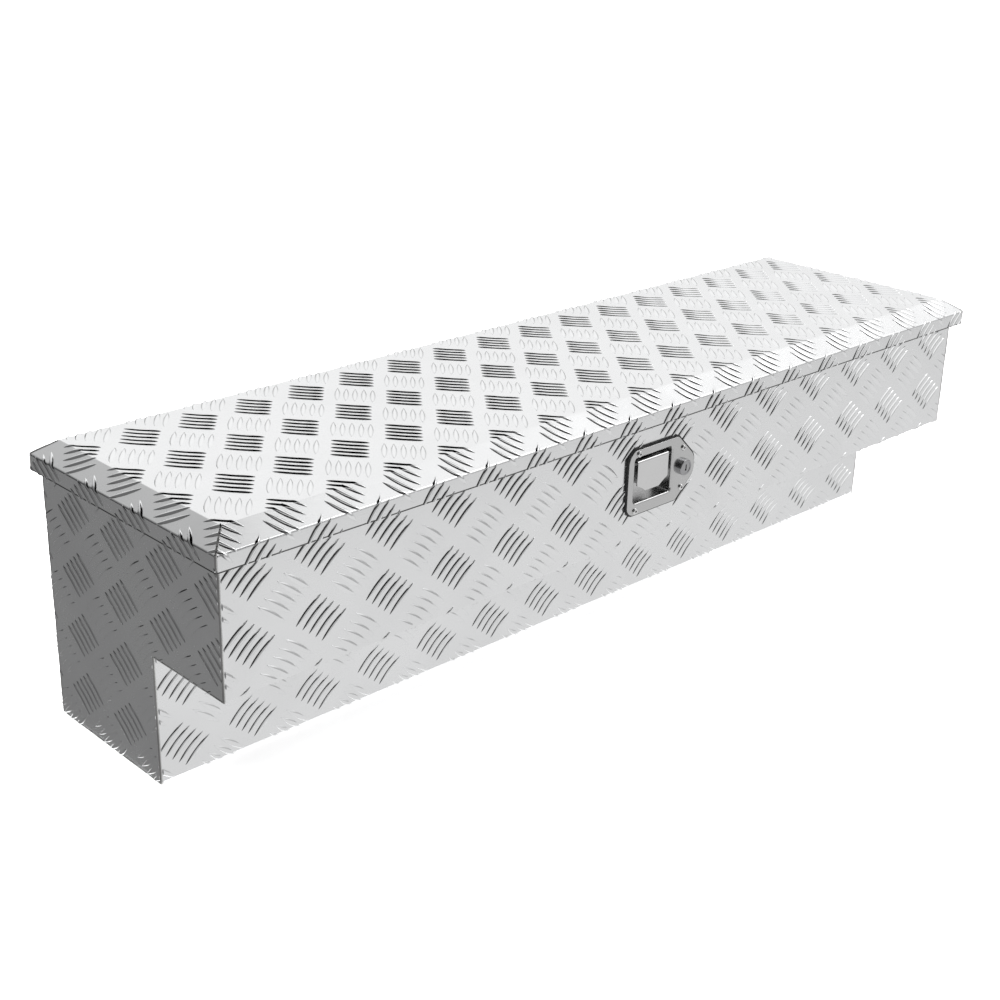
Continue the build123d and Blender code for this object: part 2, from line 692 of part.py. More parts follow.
def latch_hook():
    """The hook over the striker bar, with the lever that the paddle's tail presses down."""
    striker_y, striker_z = STRIKER_BAR
    nose = striker_z + STRIKER_RADIUS + HOOK_CLEARANCE
    points = [
        (15.0, 242.5), (23.0, 242.5), (29.0, 252.0), (22.5, 284.0), (22.5, nose + 6.5),
        (striker_y + 5.0, nose + 2.0), (striker_y + 5.0, nose),
        (striker_y - 5.5, nose), (striker_y - 5.5, 287.0),
        (42.5, 250.0), (43.0, 236.5), (30.0, 235.0), (15.0, 238.5),
    ]
    radii = [0.8, 3, 3, 3, 3, 0.8, 0.4, 2, 4, 4, 5, 4, 0.8]
    outline = [(FRONT + y, z) for y, z in points]
    hook = slab_x(rounded(outline, radii), (LATCH_X - HOOK_WIDTH / 2, LATCH_X + HOOK_WIDTH / 2))
    x = (LATCH_X - HOOK_WIDTH, LATCH_X + HOOK_WIDTH)
    return hook - bar_x(HOOK_PIN_RADIUS + RUNNING_PLAY, x, FRONT + HOOK_PIN[0], HOOK_PIN[1])


def striker():
    """A U-shaped loop under the lid on a base plate."""
    y = FRONT + STRIKER_BAR[0]
    low = STRIKER_BAR[1]
    half = STRIKER_WIDTH / 2
    top = LID_UNDERSIDE
    left, right = LATCH_X - half, LATCH_X + half
    plate = block((left - half, right + half), (y - 8, y + 8), (top - STRIKER_PLATE, top))
    plate = fillet(plate.edges().filter_by(Axis.Z), 5)
    weld_z = top - STRIKER_PLATE + 0.5
    path = FilletPolyline((left, y, weld_z), (left, y, low), (right, y, low), (right, y, weld_z), radius=5)
    section = Plane(origin=path @ 0, z_dir=path % 0) * Circle(STRIKER_RADIUS)
    return plate + sweep(section, path=path)


# ----------------------------------------------------------------------- lock

def lock_housing():
    front = BEZEL_FACE - LOCK_PROTRUSION
    back = FRONT + LOCK_REACH
    housing = bar_y(LOCK_RADIUS, LOCK_X, (front, back), LOCK_Z)
    rim = housing.edges().filter_by(GeomType.CIRCLE).sort_by(Axis.Y)[0]
    housing = fillet(rim, LOCK_RIM_RADIUS)
    return housing - bar_y(PLUG_RADIUS + RUNNING_PLAY, LOCK_X, (front - 1, back + 1), LOCK_Z)


def lock_nut():
    back = FRONT + SHEET + LOCK_NUT_HEIGHT
    hexagon = Plane.XZ.offset(-back) * Pos(LOCK_X, LOCK_Z) * RegularPolygon(LOCK_NUT_RADIUS, 6)
    nut = extrude(hexagon, LOCK_NUT_HEIGHT)
    return nut - bar_y(LOCK_RADIUS + HOLE_PLAY, LOCK_X, (FRONT, back + 1), LOCK_Z)


def lock_plug():
    front = BEZEL_FACE - LOCK_PROTRUSION + PLUG_SET_BACK
    back = FRONT + PLUG_REACH
    half = KEYWAY_WIDTH / 2
    low, high = LOCK_Z - KEYWAY_HEIGHT / 2, LOCK_Z + KEYWAY_HEIGHT / 2
    cut = (front - 1, front + KEYWAY_DEPTH)
    plug = bar_y(PLUG_RADIUS, LOCK_X, (front, back), LOCK_Z)
    plug -= block((LOCK_X - half, LOCK_X + half), cut, (low, high))
    plug -= block((LOCK_X - half - 0.8, LOCK_X + half), cut, (low, low + 2.2))
    return plug - bar_y(CAM_SCREW_RADIUS + RUNNING_PLAY, LOCK_X, (back - 8, back + 1), LOCK_Z)


def lock_cam():
    half = CAM_WIDTH / 2
    high, low = LOCK_Z + PLUG_RADIUS, LOCK_Z - CAM_LENGTH
    outline = [(LOCK_X - half, high), (LOCK_X + half, high), (LOCK_X + half, low), (LOCK_X - half, low)]
    cam = slab_y(rounded(outline, [5, 5, 3, 3]), CAM_Y)
    return cam - bar_y(CAM_SCREW_RADIUS + HOLE_PLAY, LOCK_X, (CAM_Y[0] - 1, CAM_Y[1] + 1), LOCK_Z)


def lock_cam_screw():
    radius = CAM_SCREW_HEAD_RADIUS
    seat = CAM_Y[1]
    crown = seat + CAM_SCREW_HEAD
    slot = block((LOCK_X - radius, LOCK_X + radius), (crown - 1.2, crown + 1), (LOCK_Z - 0.6, LOCK_Z + 0.6))
    head = bar_y(radius, LOCK_X, (seat, crown), LOCK_Z) - slot
    return head + bar_y(CAM_SCREW_RADIUS, LOCK_X, (CAM_Y[0] - 7, seat), LOCK_Z)


# --------------------------------------------------------------------- export

SINGLE_NODES = [
    body_wrap, rim_gasket, lid_panel, lid_stiffener,
    hinge_body_leaf, hinge_lid_leaf, hinge_pin, hinge_body_rivets, hinge_lid_rivets,
    latch_pan, latch_gasket, latch_rivets, latch_case, hook_pin, paddle_pin,
    paddle_spring, hook_spring, paddle, latch_hook, striker,
    lock_housing, lock_nut, lock_plug, lock_cam, lock_cam_screw,
]
HANDED_NODES = [
    end_panel, strut_cylinder_end, strut_cylinder, strut_rod, strut_rod_end,
    strut_body_stud, strut_body_bracket, strut_lid_stud, strut_lid_bracket,
]

os.makedirs("parts", exist_ok=True)
for make in SINGLE_NODES:
    export_step(make(), f"parts/{make.__name__}.step")
for make in HANDED_NODES:
    for name, side in (("left", -1), ("right", 1)):
        export_step(make(side), f"parts/{name}_{make.__name__}.step")

extension = strut_length(LID_OPENING_ANGLE) - strut_length(0)
print("strut closed length", round(strut_length(0), 2), "extension", round(extension, 2))
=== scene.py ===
import math
import random

import bmesh
import bpy
import numpy as np
from mathutils import Matrix, Vector


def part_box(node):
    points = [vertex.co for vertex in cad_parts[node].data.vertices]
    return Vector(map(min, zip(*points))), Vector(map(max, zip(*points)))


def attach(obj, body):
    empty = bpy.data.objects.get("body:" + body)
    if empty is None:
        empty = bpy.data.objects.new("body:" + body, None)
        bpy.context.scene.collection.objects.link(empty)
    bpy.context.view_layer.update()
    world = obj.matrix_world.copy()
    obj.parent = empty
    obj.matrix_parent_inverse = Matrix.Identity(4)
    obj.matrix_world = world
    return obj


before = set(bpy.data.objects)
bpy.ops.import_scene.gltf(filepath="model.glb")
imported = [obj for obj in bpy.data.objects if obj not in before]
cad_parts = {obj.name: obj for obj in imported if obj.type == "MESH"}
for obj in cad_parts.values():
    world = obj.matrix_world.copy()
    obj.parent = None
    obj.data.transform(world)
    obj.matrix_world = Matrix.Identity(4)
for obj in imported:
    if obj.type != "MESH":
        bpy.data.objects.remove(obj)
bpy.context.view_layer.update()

# Looks of the tread-plate tool box. Lengths are in metres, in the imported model's frame:
# X runs along the box, -Y is the latch side, Z is up.
MM = 0.001
random.seed(7)


# ------------------------------------------------------- places from the frame

def points_of(node):
    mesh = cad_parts[node].data
    places = np.zeros(len(mesh.vertices) * 3, np.float32)
    mesh.vertices.foreach_get("co", places)
    return places.reshape(-1, 3).astype(float)


end_points = points_of("left_end_panel")
lid_low, lid_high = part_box("lid_panel")
body_low, body_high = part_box("left_end_panel")

FRONT = body_low.y
BACK = body_high.y
RIM = body_high.z
END = -body_low.x
WRAP_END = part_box("body_wrap")[1].x

# The step: the lower wall's face, and the underside of the part that overhangs it
LOWER_SHARE = 0.2
CLEAR_OF_STEP = 20 * MM
STEP_Y = end_points[end_points[:, 2] < RIM * LOWER_SHARE][:, 1].min()
STEP_Z = end_points[end_points[:, 1] < STEP_Y - CLEAR_OF_STEP][:, 2].min()

# Folds of the sheet metal
BEND = 3.5 * MM
INNER_BEND = 1.5 * MM
RIM_FLANGE = 28 * MM
LID_BEND = 3 * MM
LID_SLOPE_RUN = 24 * MM
LID_LIP = 18 * MM

# Five-bar tread. The root is how deep a bar sits in the sheet. The powers say how full a
# bar's outline is, how soon its crest comes up from the points and how round it is across.
BAR_LENGTH = 42 * MM
BAR_WIDTH = 7.0 * MM
BAR_HEIGHT = 1.45 * MM
BAR_ROOT = 0.25 * MM
BAR_GAP = 10.2 * MM
BARS_IN_GROUP = 5
BAR_ANGLE = math.radians(39.5)
BAR_OUTLINE_POWER = 0.8
BAR_CREST_POWER = 0.7
BAR_ROUND_POWER = 1.8
BAR_STATIONS = 17
BAR_POINTS_ACROSS = 9

# How the tread repeats on each sheet, and where one of its groups sits:
# on the wrap from the box's middle and the front's top edge, on an end from the front and
# the bottom, on the lid from the box's middle and the body's front
WRAP_PITCH = (88.3 * MM, 72 * MM)
WRAP_GROUP = (-579 * MM, 38.5 * MM)
END_PITCH = (85 * MM, 71.7 * MM)
END_GROUP = (94 * MM, 48 * MM)
LID_PITCH = (73.3 * MM, 85 * MM)
LID_GROUP = (-528 * MM, 3 * MM)

# Where the tread stops: at the sheets' edges, on the rim flange, under the latch plate,
# and at the lid's folds, hips and lip
WRAP_MARGIN = 1 * MM
FLANGE_MARGIN = 12 * MM
END_MARGIN = 1.2 * MM
LATCH_OVERLAP = 3 * MM
LID_FOLD_MARGIN = 2 * MM
LID_HIP_MARGIN = 0.8 * MM
LID_LIP_MARGIN = 0.3 * MM

# Weld beads, and the sheared edge band round the lid's lip that carries painted shade
BEAD_RADIUS = 1.5 * MM
BODY_BEAD_SINK = 0.9 * MM
LID_BEAD_SINK = 1.2 * MM
LID_BEAD_FOOT = 1 * MM
SHEARED_SHADE_EDGE = 1.5 * MM
SHEARED_SHADE_EDGE_PROUD = 0.3 * MM


# ------------------------------------------------------------ folded sheet lines

class FoldedLine:
    """A sheet's outer line in one plane, walked by its flat length.

    Straight walls are joined by round bends. side is +1 if the outside is on the left
    of the walk and -1 if it is on the right. Each run holds its first and last flat
    length, its start and direction, and for a bend its turn and radius."""

    def __init__(self, corners, radii, side):
        self.side = side
        self.runs = []
        corners = [np.array(c, float) for c in corners]
        length = 0.0
        start = corners[0]
        for i in range(1, len(corners)):
            along = corners[i] - corners[i - 1]
            along /= np.linalg.norm(along)
            if i == len(corners) - 1:
                self.runs.append((length, math.inf, start, along, 0, 0.0))
                break
            after = corners[i + 1] - corners[i]
            after /= np.linalg.norm(after)
            cross = along[0] * after[1] - along[1] * after[0]
            turn = 1 if cross > 0 else -1
            angle = math.acos(max(-1.0, min(1.0, float(along @ after))))
            radius = radii[i - 1]
            tangent = radius * math.tan(angle / 2)
            straight = np.linalg.norm(corners[i] - along * tangent - start)
            self.runs.append((length, length + straight, start, along, 0, 0.0))
            length += straight
            start = corners[i] - along * tangent
            self.runs.append((length, length + radius * angle, start, along, turn, radius))
            length += radius * angle
            start = corners[i] + after * tangent

    def length_at(self, wall, height):
        """The flat length where an upright wall, or its extension, is at a height."""
        begin, _, start, along, _, _ = self.runs[2 * wall]
        return begin + (height - start[1]) / along[1]

    def at(self, lengths):
        """Places on the line and outward directions, for an array of flat lengths."""
        place = np.zeros((len(lengths), 2))
        outward = np.zeros((len(lengths), 2))
        for k, (begin, end, start, along, turn, radius) in enumerate(self.runs):
            chosen = (lengths < end) & ((lengths >= begin) | (k == 0))
            s = lengths[chosen] - begin
            left = np.array([-along[1], along[0]])
            if turn == 0:
                place[chosen] = start + s[:, None] * along
                outward[chosen] = self.side * left
                continue
            angle = turn * s / radius
            turned = np.stack([left[0] * np.cos(angle) - left[1] * np.sin(angle),
                               left[0] * np.sin(angle) + left[1] * np.cos(angle)], axis=1)
            place[chosen] = start + turn * radius * left - turn * radius * turned
            outward[chosen] = self.side * turned
        return place, outward


# -------------------------------------------------------------- the raised bars

def one_bar():
    """A pointed lens-shaped bar along its own first axis, closed, as points and faces."""
    stations, across = BAR_STATIONS, BAR_POINTS_ACROSS
    points = [(-BAR_LENGTH / 2, 0, -BAR_ROOT)]
    for i in range(1, stations - 1):
        s = -math.cos(math.pi * i / (stations - 1))
        half = BAR_WIDTH / 2 * (1 - s * s) ** BAR_OUTLINE_POWER
        crest = BAR_HEIGHT * (1 - s ** 4) ** BAR_CREST_POWER + BAR_ROOT
        for j in range(across):
            t = -1 + 2 * j / (across - 1)
            height = crest * (1 - abs(t) ** BAR_ROUND_POWER) - BAR_ROOT
            points.append((s * BAR_LENGTH / 2, t * half, height))
    points.append((BAR_LENGTH / 2, 0, -BAR_ROOT))
    last = len(points) - 1
    faces = []
    for i in range(stations - 3):
        row = 1 + i * across
        for j in range(across - 1):
            faces.append((row + j, row + across + j, row + across + j + 1, row + j + 1))
        faces.append((row, row + across - 1, row + 2 * across - 1, row + across))
    end_row = last - across
    for j in range(across - 1):
        faces.append((0, 1 + j, 2 + j))
        faces.append((last, end_row + j + 1, end_row + j))
    faces.append((0, across, 1))
    faces.append((last, end_row, end_row + across - 1))
    return np.array(points), faces


class Bars:
    """Many bars on a flat sheet with axes u and v, as (u, v, height) points and faces."""

    def __init__(self, points, faces):
        self.points = points
        self.faces = faces

    @staticmethod
    def laid(groups):
        """groups holds (centre u, centre v, the bars' angle, the row's angle)."""
        shape, shape_faces = one_bar()
        points, faces = [], []
        for u, v, angle, row in groups:
            for k in range(BARS_IN_GROUP):
                step = (k - (BARS_IN_GROUP - 1) / 2) * BAR_GAP
                cu = u + step * math.cos(row)
                cv = v + step * math.sin(row)
                pu = cu + shape[:, 0] * math.cos(angle) - shape[:, 1] * math.sin(angle)
                pv = cv + shape[:, 0] * math.sin(angle) + shape[:, 1] * math.cos(angle)
                base = len(points) * len(shape)
                faces.extend([tuple(base + n for n in f) for f in shape_faces])
                points.append(np.stack([pu, pv, shape[:, 2]], axis=1))
        bars = Bars(np.concatenate(points), faces)
        bars.shape_size = len(shape)
        bars.shape_faces = len(shape_faces)
        return bars

    def inside(self, planes):
        """The parts on the inner side of planes: (point, inward direction, closed off or not)."""
        size, count = self.shape_size, len(self.points) // self.shape_size
        depth = np.full(len(self.points), math.inf)
        for point, inward, _ in planes:
            along = (self.points[:, :2] - np.array(point)) @ np.array(inward)
            depth = np.minimum(depth, along)
            outside = (along.reshape(count, size) < 0).all(axis=1)
            depth.reshape(count, size)[outside] = -1
        depth = depth.reshape(count, size)
        whole = (depth >= 0).all(axis=1)
        gone = (depth < 0).all(axis=1)
        kept = self.chosen(whole)
        cut = self.chosen(~whole & ~gone)
        if not len(cut.points):
            return kept
        bm = bmesh.new()
        vertices = [bm.verts.new(p) for p in cut.points]
        for face in cut.faces:
            bm.faces.new([vertices[n] for n in face])
        for point, inward, closed in planes:
            everything = bm.verts[:] + bm.edges[:] + bm.faces[:]
            result = bmesh.ops.bisect_plane(
                bm, geom=everything, dist=1e-7, plane_co=(*point, 0),
                plane_no=(-inward[0], -inward[1], 0), clear_outer=True)
            if closed:
                edges = [e for e in result["geom_cut"] if isinstance(e, bmesh.types.BMEdge)]
                bmesh.ops.holes_fill(bm, edges=edges)
        bm.verts.index_update()
        points = np.array([v.co[:] for v in bm.verts]).reshape(-1, 3)
        faces = [tuple(v.index for v in f.verts) for f in bm.faces]
        bm.free()
        return joined([kept, Bars(points, faces)])

    def chosen(self, mask):
        """The bars that the mask picks, as they are."""
        size, per = self.shape_size, self.shape_faces
        picks = np.flatnonzero(mask)
        points = self.points.reshape(-1, size, 3)[picks].reshape(-1, 3)
        faces = []
        for new, old in enumerate(picks):
            shift = (new - old) * size
            own = self.faces[old * per:(old + 1) * per]
            faces.extend([tuple(n + shift for n in f) for f in own])
        bars = Bars(points, faces)
        bars.shape_size, bars.shape_faces = size, per
        return bars


def joined(parts):
    points, faces, base = [], [], 0
    for part in parts:
        points.append(part.points)
        faces.extend([tuple(n + base for n in f) for f in part.faces])
        base += len(part.points)
    return Bars(np.concatenate(points), faces)


def places_between(first, pitch, low, high):
    """Places at a pitch counted from first that reach just past low and high."""
    start = math.floor((low - first) / pitch)
    stop = math.ceil((high - first) / pitch)
    return [first + k * pitch for k in range(start, stop + 1)]


def five_bar_groups(origin, pitch, low, high, long_axis):
    """The two crossed families of groups that cover a flat rectangle.

    origin is one group of the first family. long_axis is 0 or 1, the axis the bars lean
    towards; the second family sits half a pitch on in both axes."""
    lean = BAR_ANGLE if long_axis == 0 else math.pi / 2 - BAR_ANGLE
    groups = []
    for family, sign in ((0, 1), (0.5, -1)):
        for u in places_between(origin[0] + family * pitch[0], pitch[0], low[0], high[0]):
            for v in places_between(origin[1] + family * pitch[1], pitch[1], low[1], high[1]):
                groups.append((u, v, sign * lean, -sign * lean))
    return groups


def add_piece(name, points, faces, body, weld=True):
    """A new mesh object that moves with a body."""
    mesh = bpy.data.meshes.new(name)
    mesh.from_pydata([tuple(p) for p in points], [], faces)
    piece = bpy.data.objects.new(name, mesh)
    bpy.context.scene.collection.objects.link(piece)
    if weld:
        bm = bmesh.new()
        bm.from_mesh(mesh)
        bmesh.ops.remove_doubles(bm, verts=bm.verts[:], dist=1e-6)
        bmesh.ops.recalc_face_normals(bm, faces=bm.faces[:])
        bm.to_mesh(mesh)
        bm.free()
    mesh.polygons.foreach_set("use_smooth", [True] * len(mesh.polygons))
    mesh.set_sharp_from_angle(angle=math.radians(45))
    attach(piece, body)
    return piece


def latch_planes():
    """The straight sides of the latch plate, moved inwards, as planes in (x, z)."""
    plate_depth = 1.5 * MM
    shortest_side = 10 * MM
    outline = points_of("latch_pan")
    front = outline[outline[:, 1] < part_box("latch_pan")[0].y + plate_depth][:, [0, 2]]
    hull = convex_outline(sorted(set(tuple(place) for place in front.round(5))))
    planes = []
    for a, b in zip(hull, hull[1:] + hull[:1]):
        along = np.array(b) - np.array(a)
        length = np.linalg.norm(along)
        if length > shortest_side:
            inward = np.array([-along[1], along[0]]) / length
            planes.append((tuple(np.array(a) + inward * LATCH_OVERLAP), tuple(inward)))
    return planes


def convex_outline(flat):
    """The anticlockwise convex outline of sorted points."""
    def chain(row):
        kept = []
        for p in row:
            while len(kept) > 1 and turn(kept[-2], kept[-1], p) <= 0:
                kept.pop()
            kept.append(p)
        return kept[:-1]

    def turn(a, b, c):
        return (b[0] - a[0]) * (c[1] - a[1]) - (b[1] - a[1]) * (c[0] - a[0])

    return chain(flat) + chain(flat[::-1])


# ------------------------------------------------------- tread on the body wrap

def body_line():
    """The wrap's outside, from the front rim flange down, under and up to the back one."""
    corners = [(FRONT + RIM_FLANGE, RIM), (FRONT, RIM), (FRONT, STEP_Z), (STEP_Y, STEP_Z),
               (STEP_Y, 0), (BACK, 0), (BACK, RIM), (BACK - RIM_FLANGE, RIM)]
    return FoldedLine(corners, [BEND, BEND, INNER_BEND, BEND, BEND, BEND], side=-1)


def body_tread():
    """Bars over the whole folded wrap: front, step, lower front, bottom and back."""
    line = body_line()
    front_wall, back_wall = 1, 5
    top_of_front = line.length_at(front_wall, RIM)
    start = FLANGE_MARGIN
    stop = line.length_at(back_wall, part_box("hinge_body_leaf")[0].z)
    edge = WRAP_END - WRAP_MARGIN
    origin = (WRAP_GROUP[0], top_of_front + WRAP_GROUP[1])
    groups = five_bar_groups(origin, WRAP_PITCH, (-edge, start), (edge, stop), 0)
    groups = [(u, v, -a, -r) for u, v, a, r in groups]
    bars = Bars.laid(groups)
    sides = [((edge, 0), (-1, 0), True), ((-edge, 0), (1, 0), True)]
    ends = [((0, start), (0, 1), True), ((0, stop), (0, -1), True)]
    latch = [((p[0], top_of_front + RIM - p[1]), (n[0], -n[1])) for p, n in latch_planes()]
    kept = bars_round_latch(bars, sides + ends, latch)
    place, outward = line.at(kept.points[:, 1])
    lifted = place + kept.points[:, 2:] * outward
    points = np.stack([kept.points[:, 0], lifted[:, 0], lifted[:, 1]], axis=1)
    return add_piece("body_tread_bars", points, kept.faces, "root")


def bars_round_latch(bars, edges, latch):
    """The bars inside the sheet's edges and outside the latch plate's convex outline."""
    size = bars.shape_size
    flat = bars.points[:, :2].reshape(-1, size, 2)
    touches = np.ones(len(flat), bool)
    for point, inward in latch:
        touches &= (((flat - np.array(point)) @ np.array(inward)) > 0).any(axis=1)
    parts = [bars.chosen(~touches).inside(edges)]
    rest = bars.chosen(touches)
    for k, (point, inward) in enumerate(latch):
        outside = [(point, (-inward[0], -inward[1]), True)]
        before = [(p, n, True) for p, n in latch[:k]]
        parts.append(rest.inside(outside + before))
    return joined(parts)


# ------------------------------------------------------------ tread on the ends

def end_tread(side):
    """Bars on one flat L-shaped end, with flat axes y and z."""
    margin = END_MARGIN
    top = RIM - BEND
    origin = (FRONT + END_GROUP[0], END_GROUP[1])
    groups = five_bar_groups(origin, END_PITCH, (FRONT, 0), (BACK, top), 0)
    bars = Bars.laid(groups)
    back = ((BACK - margin, 0), (-1, 0), True)
    upper = [back, ((FRONT + margin, 0), (1, 0), True), ((0, top), (0, -1), True),
             ((0, STEP_Z + margin), (0, 1), False)]
    lower = [back, ((STEP_Y + margin, 0), (1, 0), True), ((0, margin), (0, 1), True),
             ((0, STEP_Z + margin), (0, -1), False)]
    kept = joined([bars.inside(upper), bars.inside(lower)])
    x = side * (END + kept.points[:, 2])
    points = np.stack([x, kept.points[:, 0], kept.points[:, 1]], axis=1)
    name = "left_end_tread_bars" if side < 0 else "right_end_tread_bars"
    return add_piece(name, points, kept.faces, "root")


# ------------------------------------------------------------- tread on the lid

def lid_tread():
    """Bars over the lid's top, its four slopes and its lip, cut along the welded hips."""
    middle = (lid_low.y + lid_high.y) / 2
    half = (lid_high.x, (lid_high.y - lid_low.y) / 2)
    lip_top = lid_low.z + LID_LIP
    slope = math.atan2(lid_high.z - lip_top, LID_SLOPE_RUN)
    flat = [h - LID_SLOPE_RUN for h in half]
    safe = [f - LID_FOLD_MARGIN for f in flat]
    folds = []
    for f, h in zip(flat, half):
        corners = [(0, lid_high.z), (f, lid_high.z), (h, lip_top), (h, 0)]
        folds.append(FoldedLine(corners, [LID_BEND, LID_BEND], side=1))
    lip_wall = 2
    reach = [fold.length_at(lip_wall, lid_low.z) for fold in folds]
    origin = (LID_GROUP[0], FRONT + LID_GROUP[1] - middle)
    groups = five_bar_groups(origin, LID_PITCH, (-reach[0], -reach[1]),
                             (reach[0], reach[1]), 1)
    groups = [(u, v, -a, -r) for u, v, a, r in groups]
    bars = Bars.laid(groups)
    hip = math.atan(math.cos(slope))
    parts = [flat_part(bars, safe)]
    placed = [parts[0].points + np.array([0, 0, lid_high.z])]
    for axis, sign in ((0, -1), (0, 1), (1, -1), (1, 1)):
        part = flap_part(bars, axis, sign, safe, flat, half, reach, hip)
        parts.append(part)
        place, outward = folds[axis].at(sign * part.points[:, axis])
        lifted = place + part.points[:, 2:] * outward
        points = np.zeros_like(part.points)
        points[:, axis] = sign * lifted[:, 0]
        points[:, 1 - axis] = part.points[:, 1 - axis]
        points[:, 2] = lifted[:, 1]
        placed.append(points)
    whole = joined(parts)
    points = np.concatenate(placed) + np.array([0, middle, 0])
    return add_piece("lid_tread_bars", points, whole.faces, "lid")


def flat_part(bars, safe):
    """The bars on the lid's flat top."""
    return bars.inside([((safe[0], 0), (-1, 0), False), ((-safe[0], 0), (1, 0), False),
                        ((0, safe[1]), (0, -1), False), ((0, -safe[1]), (0, 1), False)])


def flap_part(bars, axis, sign, safe, flat, half, reach, hip):
    """The bars on one folded-down side: from the flat top's edge to the lip's bottom."""
    def pair(along, across):
        return (along, across) if axis == 0 else (across, along)

    other = 1 - axis
    planes = [(pair(sign * safe[axis], 0), pair(sign, 0), False),
              (pair(sign * (reach[axis] - LID_LIP_MARGIN), 0), pair(-sign, 0), True)]
    for across in (-1, 1):
        corner = pair(sign * flat[axis], across * (flat[other] - LID_HIP_MARGIN))
        planes.append((corner, pair(sign * math.sin(hip), -across * math.cos(hip)), True))
        planes.append((pair(0, across * (half[other] - LID_HIP_MARGIN)), pair(0, -across), True))
    return bars.inside(planes)


# ------------------------------------------------------------------ weld seams

def weld_bead(name, corners, body):
    """A run of weld metal along a line of corners, rippled like overlapping coins.

    Each coin swells along its length, and the whole bead's thickness wanders slowly."""
    step = 0.7 * MM
    ripple = 2.6 * MM
    around = 10
    thinnest, coin_swell = 0.82, 0.2
    wander_depth, wander_length = 0.07, 9 * MM
    end_steps, end_size = 3, 0.3
    path = []
    for a, b in zip(corners, corners[1:]):
        count = max(2, int((b - a).length / step))
        path.extend([a.lerp(b, i / count) for i in range(count)])
    path.append(corners[-1])
    points, faces = [], []
    travelled = 0.0
    wander = random.uniform(0, 10)
    for i, place in enumerate(path):
        ahead = path[min(i + 1, len(path) - 1)]
        behind = path[max(i - 1, 0)]
        direction = (ahead - behind).normalized()
        side = direction.orthogonal().normalized()
        up = direction.cross(side)
        if i:
            travelled += (place - path[i - 1]).length
        phase = (travelled / ripple) % 1.0
        swell = thinnest + coin_swell * math.sqrt(phase)
        swell += wander_depth * math.sin(travelled / wander_length + wander)
        ends = min(1.0, end_size + min(i, len(path) - 1 - i) / end_steps)
        for k in range(around):
            angle = 2 * math.pi * k / around
            offset = side * math.cos(angle) + up * math.sin(angle)
            points.append(place + offset * BEAD_RADIUS * swell * ends)
    for i in range(len(path) - 1):
        for k in range(around):
            a, b = i * around + k, i * around + (k + 1) % around
            faces.append((a, b, b + around, a + around))
    faces.append(tuple(range(around))[::-1])
    faces.append(tuple(range((len(path) - 1) * around, len(path) * around)))
    return add_piece(name, points, faces, body, weld=False)


def body_seams():
    """Beads where each end panel meets the folded wrap."""
    sink = BODY_BEAD_SINK
    beads = []
    for side, label in ((-1, "left"), (1, "right")):
        x = side * (END - sink)
        front, back = FRONT + sink, BACK - sink
        step_y, step_z = STEP_Y + sink, STEP_Z + sink
        corners = [Vector((x, front, RIM - BEND)), Vector((x, front, step_z)),
                   Vector((x, step_y, step_z)), Vector((x, step_y, sink)),
                   Vector((x, back, sink)), Vector((x, back, RIM - BEND))]
        beads.append(weld_bead(label + "_end_weld_seam", corners, "root"))
    return beads


def lid_seams():
    """Beads on the lid's four hips and lip corners."""
    sink = LID_BEAD_SINK
    beads = []
    for sx, x_name in ((-1, "left"), (1, "right")):
        for sy, y_name in ((-1, "front"), (1, "back")):
            outer_y = lid_low.y if sy < 0 else lid_high.y
            top = Vector((sx * (lid_high.x - LID_SLOPE_RUN), outer_y - sy * LID_SLOPE_RUN,
                          lid_high.z - sink))
            knee = Vector((sx * (lid_high.x - sink), outer_y - sy * sink, lid_low.z + LID_LIP))
            foot = Vector((knee.x, knee.y, lid_low.z + LID_BEAD_FOOT))
            name = f"lid_weld_seam_{x_name}_{y_name}"
            beads.append(weld_bead(name, [top, knee, foot], "lid"))
    return beads


# --------------------------------------------------------------- sheared edge with painted shade

def lid_sheared_shade_edge():
    """A thin band round the lid's lip, standing a hair proud of the sheet: the sheared edge, coloured
    dark as painted shade for the shadow line under the lip.
    """
    x0, y0, x1, y1 = lid_low.x, lid_low.y, lid_high.x, lid_high.y
    low, high, proud = lid_low.z, lid_low.z + SHEARED_SHADE_EDGE, SHEARED_SHADE_EDGE_PROUD
    points, faces = [], []
    for grown, z in ((0.0, high), (proud, high - proud), (proud, low + proud), (0.0, low)):
        points.extend([(x0 - grown, y0 - grown, z), (x1 + grown, y0 - grown, z),
                       (x1 + grown, y1 + grown, z), (x0 - grown, y1 + grown, z)])
    for row in range(3):
        for k in range(4):
            a, b = 4 * row + k, 4 * row + (k + 1) % 4
            faces.append((a, a + 4, b + 4, b))
    return add_piece("lid_lip_shade_edge", points, faces, "lid")


# ------------------------------------------------------------------- materials

